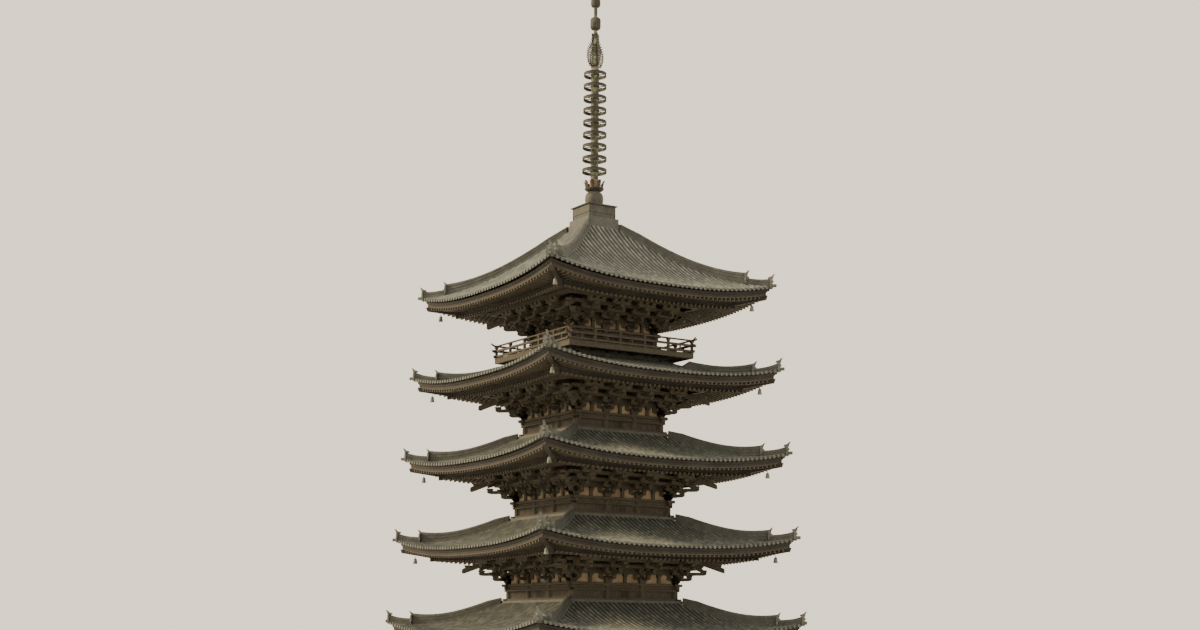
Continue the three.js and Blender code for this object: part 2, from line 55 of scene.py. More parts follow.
forward = heading * math.cos(tilt_up) + Vector((0, 0, math.sin(tilt_up)))
level = Vector((heading.y, -heading.x, 0))
turned = Matrix.Rotation(roll, 3, forward)
right = turned @ level
above = right.cross(forward)
bpy.ops.object.camera_add()
camera = bpy.context.object
camera.matrix_world = Matrix.Translation(eye) @ Matrix((right, above, -forward)).transposed().to_4x4()
camera.data.lens = 52.1
camera.data.sensor_width = 36
camera.data.shift_y = 0.181
camera.data.clip_end = 600
bpy.context.scene.camera = camera


def sun(tilt, turn, energy, softness, colour):
    """A sun lamp; its angles are in degrees."""
    bpy.ops.object.light_add(type="SUN", rotation=(math.radians(tilt), 0, math.radians(turn)))
    lamp = bpy.context.object.data
    lamp.energy, lamp.angle, lamp.color = energy, math.radians(softness), colour


sun(67, -122, 5.6, 8, (1.0, 0.79, 0.49))
sun(58, 25, 0.5, 40, (0.94, 0.95, 0.92))

sky = bpy.data.worlds.new("studio_sky")
sky.use_nodes = True
glow = sky.node_tree.nodes["Background"].inputs
glow["Color"].default_value = (1.0, 0.88, 0.70, 1)
glow["Strength"].default_value = 1.6
bpy.context.scene.world = sky

bpy.ops.object.select_all(action="DESELECT")
bpy.ops.mesh.primitive_plane_add(size=260, location=(0, 0, -0.002))
floor = bpy.context.object
floor.name = "pale_floor"
floor_paint = bpy.data.materials.new("pale_floor")
floor_paint.use_nodes = True
paint = floor_paint.node_tree.nodes["Principled BSDF"].inputs
paint["Base Color"].default_value = (0.74, 0.73, 0.71, 1)
paint["Roughness"].default_value = 0.9
floor.data.materials.append(floor_paint)


# Stone podium
# The tower stands on a low podium of dressed stone with a short flight of steps to each door.
# The slabs are laid dry, so their joints show as dark lines, and rain has streaked the sides.
def maths(operation, reflected=False):
    """An operator of Signal: it adds one Math node."""
    def apply(self, other):
        first, second = (other, self) if reflected else (self, other)
        return self.finish.node("ShaderNodeMath", {"operation": operation}, {0: first, 1: second})

    return apply


class Signal:
    """A node's output that becomes Math nodes when it is used in a sum."""

    def __init__(self, finish, socket):
        self.finish = finish
        self.socket = socket

    __add__, __radd__ = maths("ADD"), maths("ADD", reflected=True)
    __sub__, __rsub__ = maths("SUBTRACT"), maths("SUBTRACT", reflected=True)
    __mul__, __rmul__ = maths("MULTIPLY"), maths("MULTIPLY", reflected=True)
    __truediv__, __mod__ = maths("DIVIDE"), maths("FLOORED_MODULO")
    __gt__ = maths("GREATER_THAN")


class Finish:
    """A node material on the piece's own coordinates, built from the shader backwards."""

    def __init__(self, name):
        self.material = bpy.data.materials.new(name)
        self.material.use_nodes = True
        self.tree = self.material.node_tree
        self.shader = self.tree.nodes["Principled BSDF"]
        self.place = self.node("ShaderNodeTexCoord", {}, {}, "Object")

    def node(self, kind, settings, sockets, output=0):
        made = self.tree.nodes.new(kind)
        for key, value in settings.items():
            if key == "stops":
                ramp = made.color_ramp.elements
                while len(ramp) < len(value):
                    ramp.new(1.0)
                for stop, (at, colour) in zip(ramp, value):
                    stop.position = at
                    stop.color = (*colour, 1)
            else:
                setattr(made, key, value)
        for key, value in sockets.items():
            self.feed(made.inputs[key], value)
        return Signal(self, made.outputs[output])

    def feed(self, socket, value):
        if isinstance(value, Signal):
            self.tree.links.new(value.socket, socket)
        elif isinstance(value, tuple) and len(value) == 3 and socket.type == "RGBA":
            socket.default_value = (*value, 1)
        else:
            socket.default_value = value

    def noise(self, size, detail, stretch=None):
        where = self.place
        if stretch:
            where = self.node("ShaderNodeMapping", {}, {"Vector": self.place, "Scale": stretch})
        return self.node("ShaderNodeTexNoise", {}, {"Vector": where, "Scale": 1 / size, "Detail": detail})

    def ramp(self, amount, stops):
        return self.node("ShaderNodeValToRGB", {"stops": stops}, {"Fac": amount}, "Color")

    def mix(self, amount, first, second):
        return self.node("ShaderNodeMix", {"data_type": "RGBA"}, {0: amount, 6: first, 7: second}, 2)

    def axes(self):
        return [self.node("ShaderNodeSeparateXYZ", {}, {"Vector": self.place}, k) for k in range(3)]

    def size_of(self, amount):
        return self.node("ShaderNodeMath", {"operation": "ABSOLUTE"}, {0: amount})

    def clamp(self, amount, low, high):
        sockets = {"Value": amount, "From Min": low, "From Max": high}
        return self.node("ShaderNodeMapRange", {}, sockets)

    def bump(self, height, distance):
        return self.node("ShaderNodeBump", {}, {"Height": height, "Distance": distance, "Strength": 1.0})

    def wear(self, colour, roughness, bump=None, metallic=None):
        self.feed(self.shader.inputs["Base Color"], colour)
        self.feed(self.shader.inputs["Roughness"], roughness)
        if bump is not None:
            self.feed(self.shader.inputs["Normal"], bump)
        if metallic is not None:
            self.feed(self.shader.inputs["Metallic"], metallic)
        return self.material


def dressed_stone():
    made = Finish("dressed_stone")
    x, y, z = made.axes()
    side = made.node("ShaderNodeCombineXYZ", {}, {0: x + y, 1: z})
    slabs = {"Vector": side, "Color1": (0.46, 0.43, 0.38), "Color2": (0.36, 0.34, 0.31), "Scale": 1.0}
    slabs |= {"Mortar": (0.12, 0.11, 0.10), "Mortar Size": 0.004, "Brick Width": 0.62, "Row Height": 0.15}
    joints = made.node("ShaderNodeTexBrick", {"offset": 0.5}, slabs, "Color")
    stain = made.noise(0.5, 6, (1, 1, 0.35))
    grain = made.noise(0.02, 3)
    colour = made.mix(made.clamp(stain, 0.45, 0.75) * 0.6, joints, (0.20, 0.19, 0.16))
    colour = made.mix(made.clamp(grain, 0.3, 0.8) * 0.25, colour, (0.6, 0.57, 0.5))
    return made.wear(colour, 0.78 + stain * 0.2, made.bump(grain + stain, 0.004))


def repaint(node, material):
    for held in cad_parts[node].material_slots:
        held.material = material


STONE = dressed_stone()
repaint("podium", STONE)


# Timber walls
# Twelve round posts stand round each storey, tied by a sill and a rail under a head plate whose
# ends cross and stick out at the corners. Framed boards fill the bays between the posts.
POST = 0.105
PLATE_PAST = 0.22
PLATE_DEEP = 0.075
EAVE_RISE = 0.967
UPTURN = 0.38
TILE_PAST = 0.075
STOREYS = (1, 2, 3, 4, 5)
QUARTERS = [Matrix.Rotation(math.pi / 2 * quarter, 4, "Z") for quarter in range(4)]


def storey(n):
    """Sizes of one storey, read from the frame."""
    low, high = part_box(f"walls_{n}")
    axis = high.x - PLATE_PAST
    mid = high.z + EAVE_RISE
    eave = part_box(f"eaves_{n}")[1].x + TILE_PAST
    return SimpleNamespace(
        base=low.z, plate=high.z, axis=axis, bay=axis * 2 / 3, mid=mid, corner=mid + UPTURN, eave=eave
    )


def weathered_timber(name, dark, light, grain):
    """Old timber: dark grain along one direction, greyed patches and a sun-bleached bloom."""
    made = Finish(name)
    fibres = made.noise(0.02, 6, grain)
    checks = made.noise(0.006, 3, grain)
    patches = made.noise(0.7, 3)
    colour = made.ramp(fibres, [(0.30, dark), (0.62, light)])
    bleached = tuple(0.9 * c + 0.035 for c in light)
    colour = made.mix(made.clamp(patches, 0.46, 0.72) * 0.4, colour, bleached)
    colour = made.mix(made.clamp(checks, 0.60, 0.72) * 0.55, colour, tuple(c * 0.4 for c in dark))
    return made.wear(colour, 0.72 + patches * 0.2, made.bump(fibres - checks * 0.5, 0.003))


UPRIGHT_TIMBER = weathered_timber("upright_timber", (0.018, 0.015, 0.010), (0.060, 0.049, 0.033), (1, 1, 0.07))
LEVEL_TIMBER = weathered_timber("level_timber", (0.020, 0.017, 0.010), (0.062, 0.052, 0.033), (0.3, 0.3, 1))
BOARDS = weathered_timber("wall_boards", (0.014, 0.012, 0.008), (0.058, 0.048, 0.033), (1, 1, 0.09))


def pick_nothing():
    bpy.ops.object.select_all(action="DESELECT")


def pick(*pieces):
    pick_nothing()
    for piece in pieces:
        piece.select_set(True)
    bpy.context.view_layer.objects.active = pieces[0]


def settle(piece):
    pick(piece)
    bpy.ops.object.transform_apply(location=True, rotation=True, scale=True)
    return piece


@contextmanager
def shaping(selected="SELECT"):
    """Edit mode on the piece in hand, with everything on it selected, or nothing."""
    bpy.ops.object.mode_set(mode="EDIT")
    bpy.ops.mesh.select_all(action=selected)
    yield
    bpy.ops.object.mode_set(mode="OBJECT")


def block(low, high, chamfer=0.0):
    """A squared timber between two corners, with its edges taken off."""
    low, high = Vector(low), Vector(high)
    pick_nothing()
    bpy.ops.mesh.primitive_cube_add(size=1, location=(low + high) / 2, scale=high - low)
    made = settle(bpy.context.object)
    if chamfer:
        with shaping():
            bpy.ops.mesh.bevel(offset=chamfer, segments=1, affect="EDGES")
    return made


def joined(pieces):
    pick(*pieces)
    if len(pieces) > 1:
        bpy.ops.object.join()
    return bpy.context.object


def spread(pattern, places):
    """One mesh made of a copy of the pattern at each place."""
    source = pattern.data
    points = np.ones((len(source.vertices), 4))
    flat = np.empty(len(source.vertices) * 3)
    source.vertices.foreach_get("co", flat)
    points[:, :3] = flat.reshape(-1, 3)
    faces = [list(face.vertices) for face in source.polygons]
    all_points, all_faces = [], []
    for count, place in enumerate(places):
        all_points.append((points @ np.array(place).T)[:, :3])
        shift = count * len(points)
        flips = Matrix(place).to_3x3().determinant() < 0
        for face in faces:
            corners = [index + shift for index in face]
            all_faces.append(corners[::-1] if flips else corners)
    mesh = bpy.data.meshes.new(pattern.name)
    mesh.from_pydata(np.concatenate(all_points), [], all_faces)
    made = bpy.data.objects.new(pattern.name, mesh)
    bpy.context.collection.objects.link(made)
    bpy.data.objects.remove(pattern)
    return made


def four_sides(pattern):
    return spread(pattern, QUARTERS)


def fit(piece, name, material, replaced=(), smooth=None):
    """Name a finished piece, give it its material and set it in the frame."""
    piece.name = name
    piece.data.name = name
    piece.data.materials.clear()
    piece.data.materials.append(material)
    if smooth is not None:
        pick(piece)
        bpy.ops.object.shade_smooth_by_angle(angle=math.radians(smooth))
    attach(piece, "root")
    if replaced:
        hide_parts(*replaced)
    return piece


def round_post(radius, low, high):
    pick_nothing()
    middle = (0, 0, (low + high) / 2)
    bpy.ops.mesh.primitive_cylinder_add(vertices=20, radius=radius, depth=high - low, location=middle)
    return settle(bpy.context.object)


def bay_frame(half, low, high, stile, set_back):
    """Two stiles and two rails, with their outer face towards -Y at y = 0."""
    deep = 0.03
    return [
        block((-half, 0, low), (-half + stile, deep, high), 0.003),
        block((half - stile, 0, low), (half, deep, high), 0.003),
        block((-half, set_back, low), (half, deep, low + stile), 0.003),
        block((-half, set_back, high - stile), (half, deep, high), 0.003),
    ]


def panel(width, low, high, planks):
    """Framed boards for one bay, each plank a little apart from the next."""
    half, stile = width / 2, 0.045
    parts = bay_frame(half, low, high, stile, 0.002)
    pitch = (width - 2 * stile) / planks
    for k in range(planks):
        start = -half + stile + pitch * k
        near, far = (start, 0.014, low + stile / 2), (start + pitch - 0.003, 0.03, high - stile / 2)
        parts.append(block(near, far, 0.002))
    return joined(parts)


def barred(width, low, high, bars):
    """Upright square bars in a frame, over dark boards."""
    half, stile = width / 2, 0.03
    parts = bay_frame(half, low, high, stile, 0.0)
    pitch = (width - 2 * stile) / bars
    for k in range(bars):
        centre = -half + stile + pitch * (k + 0.5)
        wide = pitch * 0.27
        parts.append(block((centre - wide, 0.004, low + 0.02), (centre + wide, 0.026, high - 0.02)))
    return joined(parts)


def on_side(distance, along=0.0):
    """Places on the four sides, this far out and this far along."""
    return [quarter @ Matrix.Translation((along, -distance, 0)) for quarter in QUARTERS]


for n in STOREYS:
    s = storey(n)
    plate_low = s.plate - PLATE_DEEP
    rail_top = plate_low - 0.095
    posts = round_post(POST, s.base, plate_low + 0.002)
    places = [spot for share in (-1, -1 / 3, 1 / 3) for spot in on_side(s.axis, s.axis * share)]
    fit(spread(posts, places), f"posts_{n}", UPRIGHT_TIMBER, (f"walls_{n}",), 40)

    plate_end, tie_end, sill_end = s.axis + PLATE_PAST, s.axis + 0.17, s.axis + 0.19
    face, back = -s.axis - 0.118, -s.axis + 0.02
    frame_parts = [
        block((-plate_end, -s.axis - 0.12, plate_low), (plate_end, -s.axis + 0.12, s.plate), 0.006),
        block((-tie_end, -s.axis - 0.045, rail_top + 0.005), (tie_end, -s.axis + 0.045, plate_low), 0.004),
        block((face, face, rail_top - 0.055), (-face, back, rail_top), 0.005),
        block((-sill_end, face, s.base + 0.001), (sill_end, back, s.base + 0.055), 0.005),
    ]
    if n == 1:
        jamb = s.bay / 2 - POST
        for start, end in ((face, -jamb), (jamb, -face)):
            frame_parts.append(block((start, face, s.base + 0.46), (end, back, s.base + 0.51), 0.005))
    rails = four_sides(joined(frame_parts))
    fit(rails, f"rails_{n}", LEVEL_TIMBER)

    low, high = s.base + 0.05, rail_top - 0.05
    clear = s.bay - 2 * POST + 0.02
    wall = s.axis + 0.03
    side_bays = on_side(wall, -s.bay) + on_side(wall, s.bay)
    if n == 1:
        side_panel = panel(clear, low, s.base + 0.47, 5)
        fit(spread(side_panel, side_bays), "side_panels_1", BOARDS)
        lattice = barred(clear, s.base + 0.5, high, 17)
        fit(spread(lattice, side_bays), "window_lattice_1", BOARDS)
        leaf = panel(clear / 2 - 0.012, low, high, 4)
        places = on_side(wall, -clear / 4) + on_side(wall, clear / 4)
        doors = tuple(f"door_{side}" for side in ("south", "east", "north", "west"))
        fit(spread(leaf, places), "plank_doors", BOARDS, doors)
    else:
        fit(spread(panel(clear, low, high, 4), side_bays), f"side_panels_{n}", BOARDS)
        third = clear / 3
        places = on_side(wall, -third) + on_side(wall, third)
        fit(spread(panel(third, low, high, 2), places), f"door_panels_{n}", BOARDS)
        lattice = barred(third, low, high, 8)
        fit(spread(lattice, on_side(wall)), f"window_lattice_{n}", BOARDS)
        repaint(f"shutters_{n}", BOARDS)
        repaint(f"floor_{n}", LEVEL_TIMBER)


# Bracket work
# Each post carries a cluster of blocks and arms that steps out three times to hold the eave
# purlin, with a slanting tail beam through it. Ochre plaster fills the wall between the feet of
# the clusters, and boards close it above.
STEPS = (0.0, 0.32, 0.635, 0.95)
TIERS = (0.10, 0.265, 0.43)
TOP_TIER = 0.595
ARM_DEEP = 0.095
ARM_WIDE = 0.085
SMALL_BLOCK = 0.145
PLASTER_HIGH = 0.27
SWEEP = 2.6
ROOT2 = math.sqrt(2)


def face_outward():
    with shaping():
        bpy.ops.mesh.normals_make_consistent(inside=False)


def cut_board(outline, thick):
    """A board of the given outline in the XZ plane, centred on y = 0."""
    pick_nothing()
    bpy.ops.mesh.primitive_circle_add(vertices=len(outline), fill_type="NGON")
    made = bpy.context.object
    for vertex, (x, z) in zip(made.data.vertices, outline):
        vertex.co = (x, thick / 2, z)
    with shaping():
        bpy.ops.mesh.extrude_region_move(TRANSFORM_OT_translate={"value": (0, -thick, 0)})
    face_outward()
    return made


def arm(start, end, low, deep=ARM_DEEP, wide=ARM_WIDE, rounded=(True, True)):
    """A bracket arm along X whose undersides sweep up at its ends."""
    lift, run = deep * 0.5, deep * 1.05
    first, last = [(start, low)], [(end, low)]
    if rounded[0]:
        first = [(start + run, low), (start + run * 0.4, low + lift * 0.3), (start, low + lift)]
    if rounded[1]:
        last = [(end, low + lift), (end - run * 0.4, low + lift * 0.3), (end - run, low)]
    return cut_board([*first, (start, low + deep), (end, low + deep), *last], wide)


def bearing_block(size, low, high):
    """A bearing block whose lower part narrows to the arm below it."""
    half, foot = size / 2, size * 0.34
    waist = low + (high - low) * 0.42
    made = block((-half, -half, low), (half, half, high))
    with shaping():
        bpy.ops.mesh.bisect(plane_co=(0, 0, waist), plane_no=(0, 0, 1))
    for vertex in made.data.vertices:
        if vertex.co.z < low + 1e-4:
            vertex.co.x *= foot / half
            vertex.co.y *= foot / half
    return made


def moved(piece, by):
    for vertex in piece.data.vertices:
        vertex.co += Vector(by)
    return piece


def turned_outward(piece):
    """Turn a board along X so that it runs out from the wall, towards -Y."""
    for vertex in piece.data.vertices:
        x, y, z = vertex.co
        vertex.co = (y, -x, z)
    return piece


def outward_arms():
    """The arms and the tail beam that run out from the wall."""
    tail = [(0.10, 0.70), (1.03, 0.385), (1.06, 0.40), (1.05, 0.475), (1.0, 0.50), (0.10, 0.81)]
    boards = [arm(-0.2, step + 0.09, low, rounded=(False, True)) for step, low in zip(STEPS[1:3], TIERS)]
    return [turned_outward(board) for board in (*boards, cut_board(tail, 0.085))]


def corner_arms():
    """The arms at a corner: longer, with a block on each end, under a deeper tail beam."""
    tail = [(0.10, 0.825), (1.49, 0.335), (1.525, 0.36), (1.515, 0.47), (1.46, 0.50), (0.10, 0.975)]
    parts = [turned_outward(cut_board(tail, 0.12))]
    for step, low in zip(STEPS[1:3], TIERS):
        reach = step * ROOT2
        parts.append(turned_outward(arm(-0.25, reach + 0.08, low, wide=0.10, rounded=(False, True))))
        parts.append(moved(bearing_block(0.17, low + ARM_DEEP, low + 0.165), (0, -reach, 0)))
    parts.append(moved(bearing_block(0.17, 0.505, TOP_TIER), (0, -STEPS[3] * ROOT2, 0)))
    return parts


def cross_arm(distance, low):
    """An arm along the wall with its three small blocks."""
    half = 0.31
    parts = [moved(arm(-half, half, low), (0, -distance, 0))]
    for along in (-half + 0.075, 0, half - 0.075):
        small = bearing_block(SMALL_BLOCK, low + ARM_DEEP, low + 0.165)
        parts.append(moved(small, (along, -distance, 0)))
    return parts


def cluster():
    parts = [bearing_block(0.26, 0, 0.16), *outward_arms()]
    for step, low in zip(STEPS, (*TIERS, TOP_TIER)):
        parts += cross_arm(step, low)
    parts.append(moved(bearing_block(SMALL_BLOCK, 0.505, TOP_TIER), (0, -STEPS[3], 0)))
    return joined(parts)


def ochre_plaster():
    made = Finish("ochre_plaster")
    cloud = made.noise(0.35, 5)
    grit = made.noise(0.012, 2)
    streak = made.noise(0.12, 4, (1, 1, 0.2))
    colour = made.ramp(cloud, [(0.35, (0.17, 0.13, 0.080)), (0.68, (0.30, 0.235, 0.155))])
    colour = made.mix(made.clamp(streak, 0.5, 0.75) * 0.45, colour, (0.13, 0.10, 0.065))
    return made.wear(colour, 0.86 + grit * 0.1, made.bump(grit + cloud, 0.003))


PLASTER = ochre_plaster()


def ring(section, columns):
    """A closed band: its section of (distance, height, lift) is carried through the columns."""
    pick_nothing()
    bpy.ops.mesh.primitive_torus_add(major_segments=len(columns), minor_segments=len(section))
    made = bpy.context.object
    points = []
    for across, out, rise in columns:
        for distance, height, lift in section:
            points += [across * distance, out * distance, height + rise * lift]
    made.data.vertices.foreach_set("co", points)
    made.data.update()
    face_outward()
    return made


def square_columns(divisions):
    """Columns round a square plan, with the share of the upturn that each place gets."""
    columns = []
    for quarter in QUARTERS:
        for k in range(divisions):
            s = -1 + 2 * k / divisions
            corner = quarter @ Vector((s, -1, 0))
            columns.append((corner.x, corner.y, UPTURN * abs(s) ** SWEEP))
    return columns


SQUARE = square_columns(1)


def rectangle(left, right, low, high):
    return [(left, low), (right, low), (right, high), (left, high)]


def flat_band(inner, outer, low, high, columns=SQUARE):
    """A level band round the tower, between two distances and two heights."""
    return ring([(x, z, 0) for x, z in rectangle(inner, outer, low, high)], columns)


for n in STOREYS:
    s = storey(n)
    on_plate = Matrix.Translation((0, 0, s.plate))
    places = [spot @ on_plate for share in (-1 / 3, 1 / 3, -1, 1) for spot in on_side(s.axis, s.axis * share)]
    clusters = spread(cluster(), places)
    at_corner = Matrix.Translation((-s.axis, -s.axis, 0)) @ Matrix.Rotation(-math.pi / 4, 4, "Z")
    corners = [quarter @ at_corner @ on_plate for quarter in QUARTERS]
    work = joined([clusters, spread(joined(corner_arms()), corners)])
    fit(work, f"bracket_clusters_{n}", LEVEL_TIMBER, (f"brackets_{n}",))

    strut = arm(-0.05, 0.05, s.plate, deep=0.19, wide=0.05, rounded=(False, False))
    cap = bearing_block(0.14, s.plate + 0.19, s.plate + 0.265)
    spots = [spot for k in (-1, 0, 1) for spot in on_side(0, k * s.bay)]
    ties = [
        spread(moved(strut, (0, -s.axis - 0.05, 0)), spots),
        spread(moved(cap, (0, -s.axis - 0.045, 0)), spots),
    ]
    held = ((0, TIERS[1]), (0, TIERS[2]), (0, TOP_TIER), (STEPS[1], TIERS[2]), (STEPS[2], TOP_TIER))
    for distance, low in held:
        inner = s.axis + distance - ARM_WIDE / 2
        ties.append(flat_band(inner, inner + ARM_WIDE, s.plate + low, s.plate + low + ARM_DEEP))
    purlin = s.axis + STEPS[3]
    ties.append(flat_band(purlin - 0.06, purlin + 0.06, s.plate + 0.76, s.plate + 0.884))
    fit(joined(ties), f"bracket_ties_{n}", LEVEL_TIMBER)

    inner, outer, plaster_top = s.axis - 0.03, s.axis + 0.02, s.plate + PLASTER_HIGH
    fit(flat_band(inner, outer, s.plate, plaster_top), f"wall_plaster_{n}", PLASTER)
    boards = flat_band(inner, outer, plaster_top + 0.001, s.corner - 0.13)
    fit(boards, f"upper_boards_{n}", LEVEL_TIMBER)


# Rafters and eave boards
# Two tiers of close-set rafters carry each roof, the flying ones on a board at the ends of the
# base ones. The eave boards bend up to the corners, and their lower lip is painted paler as a
# highlight.
RAFTER_PITCH = 0.16
BASE_SLOPE = 0.36
FLYING_SLOPE = 0.15
FLYING_RUN = 0.90
ON_BASE = 0.073
ON_FLYING = 0.06


def under_eaves(s):
    """Heights of the two rafter tiers' undersides and the share of the upturn, by distance."""
    purlin = s.axis + STEPS[3]
    bend = purlin + 0.06
    step = s.eave - FLYING_RUN
    step_low = s.mid - 0.082 - BASE_SLOPE * (step - bend)
    return SimpleNamespace(
        bend=bend,
        step=step,
        base=lambda r: s.mid - 0.082 - BASE_SLOPE * (r - bend),
        flying=lambda r: step_low + 0.1875 - FLYING_SLOPE * (r - step),
        lift=lambda r: max(0.0, (r - bend) / (s.eave - bend)) ** 1.7,
    )


def bar_between(start, end, wide, deep):
    """Place that stretches a unit cube into a bar whose underside runs between two points."""
    start, end = Vector(start), Vector(end)
    along = end - start
    across = Vector((1, 0, 0))
    normal = across.cross(along).normalized()
    if normal.z < 0:
        normal = -normal
    middle = (start + end) / 2 + normal * deep / 2
    turn = Matrix((across * wide, along, normal * deep)).transposed().to_4x4()
    return Matrix.Translation(middle) @ turn


def rafters(s, height, lift, inner, outer, wide, deep):
    """Rafters of one tier on the four sides, square to the eave and stopped by the hips."""
    count = 2 * round(s.eave / RAFTER_PITCH)
    pitch = 2 * s.eave / count
    places = []
    for k in range(count):
        along = (k + 0.5 - count / 2) * pitch
        start = max(inner, abs(along) + 0.07)
        if start > outer - 0.08:
            continue
        ends = []
        for r in (start, outer):
            rise = UPTURN * lift(r) * abs(along / r) ** SWEEP
            ends.append((along, -r, height(r) + rise))
        places.append(bar_between(*ends, wide, deep))
    bar = block((-0.5, -0.5, -0.5), (0.5, 0.5, 0.5))
    return four_sides(spread(bar, places))


def hip_outline(s, u):
    """Side outline of a hip rafter, as (distance along the hip, height)."""
    def at(r, height):
        return (r * ROOT2, height + UPTURN * u.lift(r))

    start, end = s.axis + 0.05, s.eave - 0.155
    return [
        at(start, u.base(start) - 0.03),
        at(u.bend, u.base(u.bend) - 0.045),
        at(u.step + 0.085, u.base(u.step) - 0.035),
        at(u.step + 0.085, u.flying(u.step) - 0.115),
        (end * ROOT2, s.corner - 0.37),
        ((end + 0.03) * ROOT2, s.corner - 0.25),
        at(end, u.flying(end) + 0.07),
        at(u.step, u.flying(u.step) + ON_FLYING),
        at(u.bend, u.base(u.bend) + 0.03),
        at(start, u.base(start) + 0.02),
    ]


# Painted highlight: a paler timber colour for the lower lip of the eave boards, with patchy tone.
def painted_highlight_edge():
    made = Finish("painted_highlight_edge")
    rub = made.noise(0.12, 5)
    colour = made.ramp(rub, [(0.35, (0.018, 0.014, 0.010)), (0.7, (0.052, 0.042, 0.030))])
    return made.wear(colour, 0.7 + rub * 0.2, made.bump(rub, 0.001))


def leaning(inner, foot, head, low, high, lift, more=0.0):
    """Section of a board whose outer face leans out from its foot to its head."""
    return [(inner, low, lift), (foot, low, lift), (head, high, lift + more), (inner, high, lift + more)]


ALONG_HIPS = [quarter @ Matrix.Rotation(-math.pi / 4, 4, "Z") for quarter in QUARTERS]
PAINTED_HIGHLIGHT_EDGE = painted_highlight_edge()
RAFTER_TIMBER = weathered_timber("rafter_timber", (0.022, 0.019, 0.012), (0.064, 0.054, 0.034), (0.5, 0.5, 0.8))
EAVE_TIMBER = weathered_timber("eave_timber", (0.006, 0.005, 0.004), (0.014, 0.012, 0.008), (0.3, 0.3, 1))

for n in STOREYS:
    s = storey(n)
    u = under_eaves(s)
    base = rafters(s, u.base, u.lift, s.axis + 0.02, u.step + 0.05, 0.055, 0.075)
    flying = rafters(s, u.flying, u.lift, u.step - 0.15, s.eave - 0.17, 0.048, 0.062)
    fit(joined([base, flying]), f"rafters_{n}", RAFTER_TIMBER, (f"eaves_{n}",))

    columns = square_columns(24)
    edge, step = s.eave, u.step
    under = [(r, u.base(r) + ON_BASE, u.lift(r)) for r in (s.axis - 0.1, u.bend, step - 0.03)]
    under.append((step - 0.02, u.flying(step) + ON_FLYING, u.lift(step)))
    under.append((edge - 0.18, u.flying(edge - 0.18) + ON_FLYING, u.lift(edge - 0.18)))
    soffit = under + [(r, z + 0.022, lift) for r, z, lift in reversed(under)]
    fit(ring(soffit, columns), f"soffit_boards_{n}", RAFTER_TIMBER)

    lift = u.lift(edge - 0.1)
    eave_low = u.flying(edge - 0.15) + ON_FLYING
    sections = (
        leaning(step - 0.07, step, step, u.base(step) + ON_BASE, u.flying(step) + 0.005, u.lift(step)),
        leaning(edge - 0.25, edge - 0.165, edge - 0.15, eave_low, s.mid - 0.095, lift),
        leaning(edge - 0.25, edge - 0.125, edge - 0.115, s.mid - 0.09, s.mid - 0.018, lift, 0.02),
    )
    boards = [ring(section, columns) for section in sections]
    hip = turned_outward(cut_board(hip_outline(s, u), 0.13))
    fit(joined([*boards, spread(hip, ALONG_HIPS)]), f"eave_boards_{n}", EAVE_TIMBER)

    # The lip is painted paler than the eave boards as a highlight.
    lip = leaning(edge - 0.18, edge - 0.157, edge - 0.154, eave_low - 0.004, eave_low + 0.036, lift)
    fit(ring(lip, columns), f"eave_lip_{n}", PAINTED_HIGHLIGHT_EDGE)


# Tiled roofs
# Rows of round cover tiles run down between shallow pans, each ending in a disc at the eave.
# The smoked clay has weathered to grey-green, and single tiles are paler or darker.
TILE_PITCH = 0.165
COVER = 0.042
WALL_GAP = 0.0303
TOP_ROOF = 5
BALCONY_ROOF = 4
FACING_Y = (math.pi / 2, 0, 0)
# The ridges of the balcony's roof stay low up to here, under the deck.
DECK_CLEAR = 1.97


def roof_shape(n):
    """The tile surface of one roof: its inner edge and its height over any point."""
    s = storey(n)
    if n == TOP_ROOF:
        inner, top, sag = 0.55, 15.525, 0.26
    else:
        inner = storey(n + 1).axis + POST + WALL_GAP
        top = s.corner + (0.425 if n == BALCONY_ROOF else 0.665)
        sag = 0.155
    end = s.mid + 0.085

    def height(r, along):
        t = (r - inner) / (s.eave - inner)
        t = min(max(t, 0.0), 1.0)
        middle = top + (end - top) * t - 4 * sag * t * (1 - t)
        return middle + UPTURN * t ** 3 * min(abs(along / r), 1.0) ** SWEEP

    return SimpleNamespace(n=n, inner=inner, height=height, s=s)


